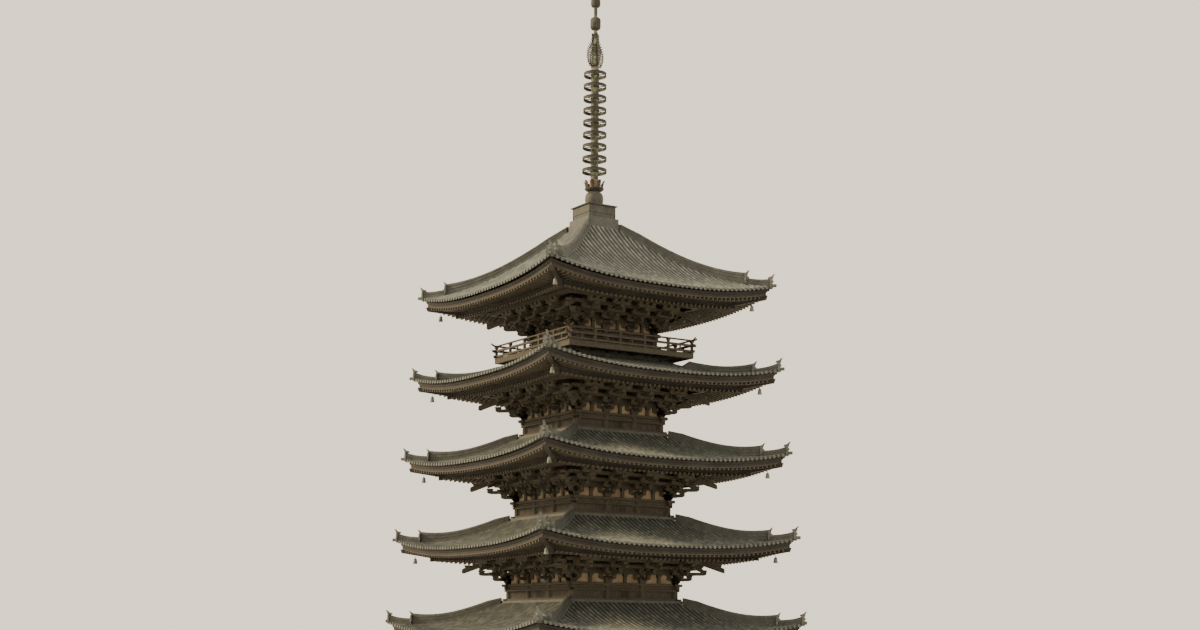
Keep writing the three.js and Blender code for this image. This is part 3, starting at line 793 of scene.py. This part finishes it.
def smoked_tile(n, pitch):
    """Smoked clay with lichen, lap lines, painted shade on cover flanks and pans, painted light under the
    balcony.
    """
    made = Finish(f"smoked_tile_{n}")
    x, y, z = made.axes()
    size_x, size_y = made.size_of(x), made.size_of(y)
    facing_y = size_y > size_x
    along = y + facing_y * (x - y)
    out = size_x + facing_y * (size_y - size_x)
    row = along / pitch
    course = out / 0.15
    across, lap = row % 1.0, course % 1.0
    # Painted shade: the cover flanks and the pans between them are darkened, down to near black.
    painted_shade_in_pans = made.clamp(made.size_of(across - 0.5), 0.19, 0.28)
    cell = made.node("ShaderNodeCombineXYZ", {}, {0: row - across, 1: course - lap, 2: facing_y})
    single = made.node("ShaderNodeTexWhiteNoise", {"noise_dimensions": "3D"}, {"Vector": cell})
    patches = made.noise(0.9, 5)
    lichen = made.noise(0.09, 6)
    dark, middling, pale = (0.072, 0.080, 0.073), (0.105, 0.115, 0.103), (0.170, 0.178, 0.156)
    colour = made.ramp(single, [(0.0, dark), (0.5, middling), (1.0, pale)])
    colour = made.mix(made.clamp(patches, 0.42, 0.7) * 0.5, colour, (0.082, 0.096, 0.080))
    colour = made.mix(made.clamp(lichen, 0.54, 0.7) * 0.35, colour, (0.21, 0.205, 0.16))
    colour = made.mix((lap > 0.92) * 0.4, colour, (0.04, 0.042, 0.036))
    # Painted light: the slope under the balcony deck is painted paler towards the wall, where the deck shades
    # it.
    if n == BALCONY_ROOF:
        painted_light_starts, painted_light_full = 3.1, 2.5
        colour = made.mix(made.clamp(out, painted_light_starts, painted_light_full) * 0.6, colour, (0.22, 0.24, 0.215))
    # Painted shade on the cover flanks and in the pans, stronger on the top roof.
    colour = made.mix(painted_shade_in_pans * (0.97 if n == TOP_ROOF else 0.86), colour, (0.010, 0.011, 0.010))
    return made.wear(colour, 0.55 + patches * 0.3, made.bump(lichen * 0.4 - lap * 0.6, 0.004))


def plain_tile(name, dark, light):
    made = Finish(name)
    patches = made.noise(0.25, 5)
    lichen = made.noise(0.05, 6)
    colour = made.ramp(patches, [(0.3, dark), (0.7, light)])
    colour = made.mix(made.clamp(lichen, 0.55, 0.7) * 0.35, colour, (0.17, 0.167, 0.135))
    return made.wear(colour, 0.55 + patches * 0.25, made.bump(lichen + patches, 0.004))


RIDGE_TILE = plain_tile("ridge_tile", (0.032, 0.036, 0.031), (0.070, 0.076, 0.065))
END_TILE = plain_tile("end_tile", (0.045, 0.050, 0.044), (0.105, 0.112, 0.098))


def tile_slope(shape, rows):
    """One slope: a grid of faces shaped into covers and pans, then cut along the hips."""
    s = shape.s
    pitch = 2 * s.eave / rows
    lay = [(-pitch / 2, -0.062), (-COVER, -0.050), (-COVER * 0.7, -0.022)]
    lay += [(0, -0.008), (COVER * 0.7, -0.022), (COVER, -0.050)]
    across = rows * len(lay)
    pick_nothing()
    bpy.ops.mesh.primitive_grid_add(x_subdivisions=across, y_subdivisions=14, size=1)
    slope = bpy.context.object
    for vertex in slope.data.vertices:
        column = round((vertex.co.x + 0.5) * across)
        row, part = divmod(column, len(lay))
        offset, rise = lay[part]
        along = (row + 0.5 - rows / 2) * pitch + offset
        share = vertex.co.y + 0.5
        r = s.eave - (s.eave - shape.inner) * share
        vertex.co = (along, -r, shape.height(r, along) + rise)
    for normal in ((1, 1, 0), (-1, 1, 0)):
        with shaping():
            bpy.ops.mesh.bisect(plane_co=(0, 0, 0), plane_no=normal, clear_outer=True)
    thickness = slope.modifiers.new("thickness", "SOLIDIFY")
    thickness.thickness = 0.03
    thickness.offset = -1
    bpy.ops.object.modifier_apply(modifier=thickness.name)
    return slope


def barrel(radius, length, place=(0, 0, 0)):
    """A round tile or disc that lies along Y."""
    pick_nothing()
    bpy.ops.mesh.primitive_cylinder_add(
        vertices=12, radius=radius, depth=length, rotation=FACING_Y, location=place
    )
    return settle(bpy.context.object)


def end_disc():
    """The round end of a cover tile, with its raised rim and boss."""
    made = barrel(COVER + 0.007, 0.024)
    with shaping("DESELECT"):
        bpy.ops.object.mode_set(mode="OBJECT")
        for face in made.data.polygons:
            face.select = face.normal.y < -0.9
        bpy.ops.object.mode_set(mode="EDIT")
        bpy.ops.mesh.inset(thickness=0.009)
        bpy.ops.mesh.extrude_region_move(TRANSFORM_OT_translate={"value": (0, 0.005, 0)})
    return made


def ridge_along(section, path):
    """A ridge swept towards -Y through (distance, height, growth) points, closed at both ends."""
    pick_nothing()
    bpy.ops.mesh.primitive_circle_add(vertices=len(section), fill_type="NGON")
    made = bpy.context.object
    for vertex, (x, z) in zip(made.data.vertices, section):
        vertex.co = (x, -path[0][0], z)
    with shaping():
        for here, further in zip(path, path[1:]):
            bpy.ops.mesh.extrude_region_move(TRANSFORM_OT_translate={"value": (0, here[0] - further[0], 0)})
    face_outward()
    for vertex in made.data.vertices:
        distance, height, growth = min(path, key=lambda stop: abs(stop[0] + vertex.co.y))
        if vertex.co.z > 0:
            vertex.co.z *= growth
        vertex.co.z += height
    return made


def ridge_section(half, high, courses):
    """Flat tiles in courses, each set back under the next, with a round tile on top."""
    rise = (high - 0.045) / courses
    side = []
    for k in range(courses):
        inset = 0.0 if k % 2 == 0 else 0.012
        width = half - 0.012 * k / courses
        side += [(width - inset, k * rise), (width - inset, (k + 1) * rise - 0.001)]
    top = courses * rise
    cap = [(0.045, top), (0.033, top + 0.032), (0, top + 0.045)]
    right_side = [(x, z - 0.09 if k == 0 else z) for k, (x, z) in enumerate(side)] + cap
    left_side = [(-x, z) for x, z in reversed(right_side[:-1])]
    return right_side + left_side


def end_ornament(wide, high, horn):
    """The upright tile that closes a ridge, with shoulders, a boss and a horn that leans out."""
    half = wide / 2
    edge = [(half * 1.12, high * 0.18), (half * 0.9, high * 0.5)]
    edge += [(half * 0.95, high * 0.86), (half * 0.45, high)]
    outline = [(-half, -0.05), (half, -0.05), *edge, *((-x, z) for x, z in reversed(edge))]
    plate = cut_board(outline, 0.05)
    pick_nothing()
    middle = (0, -0.02, high * 0.5)
    bpy.ops.mesh.primitive_uv_sphere_add(segments=10, ring_count=6, radius=half * 0.45, location=middle)
    boss = settle(bpy.context.object)
    fin = [(-0.10, high - 0.03), (0.045, high - 0.04), (0.06, high + horn * 0.25), (0.08, high + horn * 0.6)]
    fin += [(0.105, high + horn), (0.06, high + horn * 0.85), (0.0, high + horn * 0.4), (-0.10, high + 0.02)]
    return joined([plate, boss, turned_outward(cut_board(fin, 0.06))])


def corner_tile(reach):
    """A round tile that runs out past the corner, closed by a disc with a raised rim."""
    tile = barrel(0.05, 0.22, (0, 0.11 - reach, -0.035))
    return joined([tile, moved(end_disc(), (0, -reach, -0.035))])


def hip_path(shape, start, end, count, swell, lift):
    """Stops of a ridge from the wall to its end, where it swells and lifts."""
    path = []
    for k in range(count):
        share = k / (count - 1)
        r = start + (end - start) * share
        late = max(0.0, (share - 0.5) / 0.5) ** 2
        growth = min(1.0, 0.7 + share * 2) + swell * late
        if shape.n == BALCONY_ROOF and r < DECK_CLEAR:
            growth = 0.22
        path.append((r * ROOT2, shape.height(r, r) - 0.02 + lift * late, growth))
    return path


for n in STOREYS:
    shape = roof_shape(n)
    s = shape.s
    rows = 2 * round(s.eave / TILE_PITCH)
    pitch = 2 * s.eave / rows
    slopes = four_sides(tile_slope(shape, rows))
    fit(slopes, f"roof_tiles_{n}", smoked_tile(n, pitch), (f"roof_{n}",), 50)

    places = []
    for k in range(rows):
        along = (k + 0.5 - rows / 2) * pitch
        top = shape.height(s.eave, along)
        places.append(Matrix.Translation((along, -s.eave - 0.002, top - 0.062)))
    fit(four_sides(spread(end_disc(), places)), f"end_discs_{n}", END_TILE)

    start, stop, tip = shape.inner + 0.05, s.eave - 0.60, s.eave - 0.03
    main = ridge_along(ridge_section(0.085, 0.25, 5), hip_path(shape, start, stop, 14, 0.18, 0.03))
    lower = ridge_along(ridge_section(0.07, 0.165, 3), hip_path(shape, stop - 0.04, tip, 7, 0.15, 0.02))
    main_end = end_ornament(0.38, 0.285, 0.11)
    moved(main_end, (0, -stop * ROOT2 - 0.02, shape.height(stop, stop) - 0.02))
    lower_end = end_ornament(0.23, 0.22, 0.12)
    moved(lower_end, (0, -tip * ROOT2 + 0.02, shape.height(tip, tip) - 0.02))
    past = 0.03 if n == 1 else 0.085
    run_out = moved(corner_tile(past), (0, -s.eave * ROOT2, shape.height(s.eave, s.eave)))
    ends = spread(joined([main_end, lower_end, run_out]), ALONG_HIPS)
    fit(ends, f"ridge_ends_{n}", END_TILE, (), 35)
    parts = [spread(joined([main, lower]), ALONG_HIPS)]
    if n == TOP_ROOF:
        parts.append(flat_band(0.40, 0.60, 15.40, 15.615))
        parts.append(flat_band(0.40, 0.55, 15.60, 15.775))
    else:
        head = shape.height(shape.inner, 0)
        parts.append(flat_band(shape.inner - 0.03, shape.inner + 0.055, head - 0.06, head + 0.02))
    fit(joined(parts), f"hip_ridges_{n}", RIDGE_TILE, (), 35)


# Corner bells
# A bronze wind bell hangs from an iron hook under each hip rafter. It is cast hollow with a
# flared mouth.
BELL_SET_IN = 0.46
BELL_DROP = 0.5325


def turned_piece(profile, sides, foot=0.0):
    """A piece turned on the lathe from a profile of (radius, height over the foot), pole to pole."""
    rings = len(profile) - 1
    pick_nothing()
    bpy.ops.mesh.primitive_uv_sphere_add(segments=sides, ring_count=rings, radius=1)
    made = bpy.context.object
    for vertex in made.data.vertices:
        share = math.acos(max(-1.0, min(1.0, vertex.co.z))) / math.pi
        radius, height = profile[round(share * rings)]
        around = math.atan2(vertex.co.y, vertex.co.x)
        vertex.co = (radius * math.cos(around), radius * math.sin(around), foot + height)
    face_outward()
    return made


def old_bronze(name, dark, green, bare, amount):
    """Cast bronze: brown-black skin, green bloom in patches and runs, bare metal on worn spots."""
    made = Finish(name)
    bloom = made.noise(0.16, 6)
    runs = made.noise(0.05, 5, (1, 1, 0.2))
    pits = made.noise(0.01, 3)
    colour = made.mix(made.clamp(runs, 0.42, 0.7) * 0.6, dark, bare)
    colour = made.mix(made.clamp(bloom, 0.62 - amount, 0.80 - amount), colour, green)
    return made.wear(colour, 0.5 + bloom * 0.35, made.bump(pits + runs, 0.002), 0.35 - bloom * 0.3)


BRONZE = old_bronze("spire_bronze", (0.018, 0.017, 0.013), (0.050, 0.056, 0.038), (0.042, 0.032, 0.020), 0.10)
BELL_BRONZE = old_bronze("bell_bronze", (0.06, 0.065, 0.052), (0.17, 0.185, 0.155), (0.09, 0.085, 0.065), 0.2)

for n in STOREYS:
    s = storey(n)
    u = under_eaves(s)
    r = s.eave - BELL_SET_IN
    top = s.corner - BELL_DROP
    outside = [(0, 0), (0.030, -0.004), (0.046, -0.022), (0.054, -0.075), (0.062, -0.125), (0.072, -0.165)]
    inside = [(0.070, -0.17), (0.058, -0.155), (0.052, -0.115), (0.044, -0.07), (0.030, -0.03), (0, -0.016)]
    cast = turned_piece(outside + inside, 16, top)
    hook = round_post(0.009, top - 0.01, u.flying(r) - 0.09 + UPTURN * u.lift(r))
    strap = block((-0.028, -0.008, top - 0.125), (0.028, 0.008, top - 0.02), 0.003)
    tongue = round_post(0.014, top - 0.15, top - 0.02)
    corners = [quarter @ Matrix.Translation((r, r, 0)) for quarter in QUARTERS]
    bells = spread(joined([cast, hook, strap, tongue]), corners)
    fit(bells, f"corner_bells_{n}", BELL_BRONZE, (), 40)


# Balcony
# A narrow deck of boards goes round the top storey, on joists with a deep beam at their ends.
# Its rails run past the corners and bend up there; studs and short posts hold them apart.
deck_low, deck_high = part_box("balcony_deck")
deck_edge, deck_top = deck_high.x, deck_high.z
deck_foot = storey(TOP_ROOF).axis + POST + 0.0306
deck_wide = deck_edge - deck_foot
laid = 7
boards = []
for k in range(laid):
    start = deck_foot + deck_wide * k / laid
    end = deck_foot + deck_wide * (k + 1) / laid - 0.006
    boards.append(flat_band(start, end, deck_top - 0.028, deck_top))
boards.append(flat_band(deck_edge - 0.10, deck_edge - 0.012, deck_low.z + 0.002, deck_top - 0.029))
joist = block((-0.035, -deck_edge + 0.045, deck_top - 0.11), (0.035, -deck_foot, deck_top - 0.03), 0.004)
spots = [spot for k in range(-6, 7) for spot in on_side(0, k * 0.32)]
boards.append(spread(joist, spots))
fit(joined(boards), "balcony_boards", LEVEL_TIMBER, ("balcony_deck",))

RAIL_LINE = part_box("balcony_railing")[1].x - 0.165
rail_top = deck_top + 0.415


def bent_pole(section, reach, height, lift):
    """A rail along Y that bends up where it runs past the corners."""
    past = reach - RAIL_LINE
    path = []
    for k in range(4):
        share = 1 - k / 3
        path.append((-(RAIL_LINE + past * share), height + lift * share ** 2, 1.0))
    path += [(-r, z, growth) for r, z, growth in reversed(path)]
    return moved(ridge_along(section, path), (RAIL_LINE, 0, 0))


def round_columns(sides):
    return [(math.cos(math.tau * k / sides), math.sin(math.tau * k / sides), 0) for k in range(sides)]


POLE = 0.027
round_rail = [(POLE * x, POLE * z) for x, z, _ in round_columns(10)]
rails = [
    bent_pole(round_rail, RAIL_LINE + 0.19, rail_top - POLE, 0.065),
    bent_pole(rectangle(-0.028, 0.028, -0.032, 0.032), RAIL_LINE + 0.15, deck_top + 0.235, 0.0),
    bent_pole(rectangle(-0.034, 0.034, -0.03, 0.03), RAIL_LINE + 0.10, deck_top + 0.061, 0.0),
]
post = block((-0.035, -0.035, deck_top + 0.001), (0.035, 0.035, rail_top - 0.035), 0.004)
saddle = bearing_block(0.10, rail_top - 0.105, rail_top - 0.045)
upright = joined([post, saddle])
stud = block((-0.02, -0.02, deck_top + 0.08), (0.02, 0.02, deck_top + 0.22), 0.003)
bays = 5
for piece, shift in ((upright, 0), (stud, 1)):
    spots = [RAIL_LINE * ((2 * k + shift) / bays - 1) for k in range(bays)]
    rails.append(spread(piece, [Matrix.Translation((RAIL_LINE, spot, 0)) for spot in spots]))
fit(four_sides(joined(rails)), "balcony_rails", UPRIGHT_TIMBER, ("balcony_railing",), 35)
repaint("top_frame", LEVEL_TIMBER)
repaint("heart_pillar", UPRIGHT_TIMBER)


# Dew basin
# A square box of weathered sheet bronze closes the top of the roof. Sheets lap at its corners
# and halfway up, and a thin plate with a dripping edge lies on it.
basin_foot, plate_top = (corner.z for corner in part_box("dew_basin"))
BOX = 0.475


def sheet_bronze():
    made = Finish("sheet_bronze")
    cloud = made.noise(0.22, 6)
    runs = made.noise(0.05, 5, (1, 1, 0.12))
    grain = made.noise(0.012, 3)
    colour = made.ramp(cloud, [(0.32, (0.026, 0.028, 0.022)), (0.7, (0.058, 0.060, 0.048))])
    colour = made.mix(made.clamp(runs, 0.45, 0.7) * 0.5, colour, (0.08, 0.076, 0.058))
    return made.wear(colour, 0.55 + cloud * 0.3, made.bump(grain + cloud, 0.002), 0.25 - cloud * 0.2)


SHEET = sheet_bronze()
mid_seam = basin_foot + 0.16
lid = [(0.09, -0.032), (0.50, -0.032), (0.505, -0.045), (0.53, -0.045), (0.53, -0.018), (0.09, 0)]
seam_out, seam_in = -BOX - 0.006, -BOX + 0.02
parts = [
    flat_band(BOX - 0.02, BOX, mid_seam + 0.006, plate_top - 0.03),
    flat_band(BOX - 0.02, BOX - 0.008, basin_foot, mid_seam + 0.006),
    flat_band(BOX - 0.01, BOX + 0.006, mid_seam - 0.012, mid_seam + 0.006),
    ring([(reach, plate_top + height, 0) for reach, height in lid], SQUARE),
    four_sides(block((seam_out, seam_out, basin_foot), (seam_in, seam_in, plate_top - 0.03), 0.005)),
]
fit(joined(parts), "basin_sheets", SHEET, ("dew_basin",))


# Bowl and lotus seat
# Two bronze castings sit on the basin: an upturned bowl, and a dish with eight upright petals
# that curl out at their tips round a core of bare copper.
profile = [(0, 0), (0.255, 0), (0.275, 0.02), (0.275, 0.045), (0.262, 0.055), (0.280, 0.16)]
profile += [(0.284, 0.25), (0.272, 0.34), (0.235, 0.41), (0.18, 0.45), (0.17, 0.479), (0, 0.479)]
bowl = turned_piece(profile, 32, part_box("inverted_bowl")[0].z)
fit(bowl, "upturned_bowl", SHEET, ("inverted_bowl",), 35)

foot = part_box("lotus_seat")[0].z
profile = [(0, 0), (0.20, 0), (0.27, 0.03), (0.30, 0.07), (0.30, 0.085), (0.24, 0.085), (0.20, 0.06), (0, 0.06)]
dish = turned_piece(profile, 32, foot)


def petal(foot):
    """One petal: a plate that is widest halfway up, ends in a point and curls outward."""
    pick_nothing()
    bpy.ops.mesh.primitive_grid_add(x_subdivisions=4, y_subdivisions=6, size=1)
    made = bpy.context.object
    for vertex in made.data.vertices:
        across, up = vertex.co.x * 2, vertex.co.y + 0.5
        half = 0.062 * (0.55 + 0.9 * up) * math.sqrt(max(0.0, 1 - up ** 4)) + 0.004
        out = 0.265 + 0.055 * up + 0.03 * max(0.0, up - 0.75) * 4 - 0.02 * across ** 2
        height = foot + 0.05 + 0.285 * up - 0.02 * max(0.0, up - 0.85) * 4
        vertex.co = (half * across, -out, height)
    plate = made.modifiers.new("plate", "SOLIDIFY")
    plate.thickness = 0.018
    bpy.ops.object.modifier_apply(modifier=plate.name)
    return made


EIGHTHS = [Matrix.Rotation(math.tau * k / 8, 4, "Z") for k in range(8)]
petals = spread(petal(foot), EIGHTHS)
fit(joined([dish, petals]), "lotus_petals", BRONZE, ("lotus_seat",), 40)
COPPER = old_bronze("bare_copper", (0.20, 0.11, 0.06), (0.16, 0.15, 0.09), (0.42, 0.25, 0.14), -0.12)
profile = [(0, 0.05), (0.155, 0.05), (0.155, 0.075), (0.14, 0.085), (0.14, 0.30)]
profile += [(0.15, 0.31), (0.15, 0.345), (0, 0.345)]
fit(turned_piece(profile, 24, foot), "copper_core", COPPER, (), 35)


# Nine rings
# Nine cast rings, each a little smaller than the one below, are held to a tube by eight spokes
# and a hub. The tube between them has turned pale green.
ROUND = round_columns(32)
# The lowest ring's height and radius, and what each further ring adds and loses, in millimetres
# of the full-size tower.
RING_AT, RING_PITCH, RING_RADIUS, RING_TAPER = 34650, 760, 770, 7.5
HALF_SCALE = 0.0005
RING_DEEP = 0.052
lip = ((0.026, 0.008), (0.004, 0), (0, 0.014), (0.006, 0.022))
hoops = []
for k in range(9):
    z = (RING_AT + RING_PITCH * k) * HALF_SCALE
    radius = (RING_RADIUS - RING_TAPER * k) * HALF_SCALE
    lower = [(radius - inset, z - RING_DEEP + rise, 0) for inset, rise in lip]
    upper = [(radius - inset, z + RING_DEEP - rise, 0) for inset, rise in reversed(lip)]
    hoops.append(ring(lower + upper, ROUND))
    hoops.append(spread(block((0.12, -0.008, z - 0.012), (radius - 0.02, 0.008, z + 0.012), 0.003), EIGHTHS))
    hub = [(0.10, z - 0.04, 0), (0.130, z - 0.04, 0), (0.138, z, 0), (0.130, z + 0.04, 0), (0.10, z + 0.04, 0)]
    hoops.append(ring(hub, ROUND))
fit(joined(hoops), "ring_hoops", BRONZE, ("nine_rings",), 40)

VERDIGRIS = old_bronze("pale_verdigris", (0.040, 0.042, 0.026), (0.17, 0.20, 0.115), (0.05, 0.048, 0.032), 0.14)
tube_low, tube_high = (corner.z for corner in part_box("nine_rings"))
fit(flat_band(0.095, 0.1225, tube_low, tube_high, ROUND), "ring_tube", VERDIGRIS, (), 40)


# Water flame
# Four openwork plates stand square to each other above the rings. Each is cast as curling
# strands between an inner and an outer bar, with rows of short tongues along its edge.
low, high = (corner.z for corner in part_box("water_flame"))


def curl(across, up, radius):
    """A small cast ring in the plane of the plate."""
    pick_nothing()
    bpy.ops.mesh.primitive_torus_add(
        major_segments=12, minor_segments=6, major_radius=radius, minor_radius=0.009, rotation=FACING_Y
    )
    made = settle(bpy.context.object)
    return moved(made, (across, 0, up))


def flame_edge(up):
    """How far the flame reaches at a share of its height."""
    return 0.15 + 0.15 * math.sin(math.pi * min(1.0, up * 1.15 + 0.12)) ** 0.8 - 0.06 * up


strands = []
count = 14
for k in range(count):
    up = (k + 0.5) / count
    reach = flame_edge(up)
    z = low + 0.06 + up
    strands.append(curl(0.115, z, 0.024))
    strands.append(curl((reach + 0.1) / 2, z + 0.01, 0.026))
    if reach > 0.2:
        strands.append(curl(reach - 0.04, z + 0.02, 0.022))
    tongue = cut_board([(0, 0), (0.05, 0.03), (0.075, 0.075), (0.035, 0.055), (0, 0.03)], 0.016)
    strands.append(moved(tongue, (reach - 0.03, 0, z)))
outer = [(flame_edge(k / 8), low + 0.05 + k / 8) for k in range(9)]
inner = [(x - 0.022, z) for x, z in reversed(outer)]
for outline in (
    outer + inner,
    rectangle(0.08, 0.10, low + 0.04, low + 1.07),
    rectangle(0.08, flame_edge(0), low + 0.04, low + 0.065),
):
    strands.append(cut_board(outline, 0.02))
bands = [four_sides(joined(strands))]
for up in (0.03, 0.36, 0.69, 1.02):
    z = low + 0.03 + up
    bands.append(flat_band(0.06, 0.095, z - 0.015, z + 0.015, ROUND))
fit(joined(bands), "flame_plates", BRONZE, ("water_flame",), 40)

foot, top = (corner.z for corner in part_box("spire_rod"))
profile = [(0, foot), (0.1225, foot), (0.1225, foot + 0.02), (0.085, foot + 0.035)]
profile += [(0.085, high - 0.01), (0.0575, high + 0.005), (0.0575, top - 0.02), (0, top)]
fit(turned_piece(profile, 24), "spire_pole", VERDIGRIS, ("spire_rod",), 35)


# Ball and jewel
# A squat cast ball and a pointed jewel end the spire. Both are turned, with a bead at the foot.
low, high = (corner.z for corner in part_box("upper_ball"))
half = [(0, 0), (0.10, 0), (0.13, 0.015), (0.155, 0.05), (0.1625, 0.10)]
profile = [(radius, low + rise) for radius, rise in half] + [(0.1625, (low + high) / 2)]
profile += [(radius, high - rise) for radius, rise in reversed(half)]
fit(turned_piece(profile, 28), "spire_ball", BRONZE, ("upper_ball",), 50)

low, high = (corner.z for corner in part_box("jewel"))
profile = [(0, 0), (0.10, 0), (0.125, 0.012), (0.14, 0.04), (0.149, 0.09), (0.15, 0.14)]
profile += [(0.147, 0.20), (0.128, 0.26), (0.095, 0.32), (0.06, 0.37), (0.03, 0.41), (0, high - low)]
fit(turned_piece(profile, 28, low), "spire_jewel", BRONZE, ("jewel",), 50)
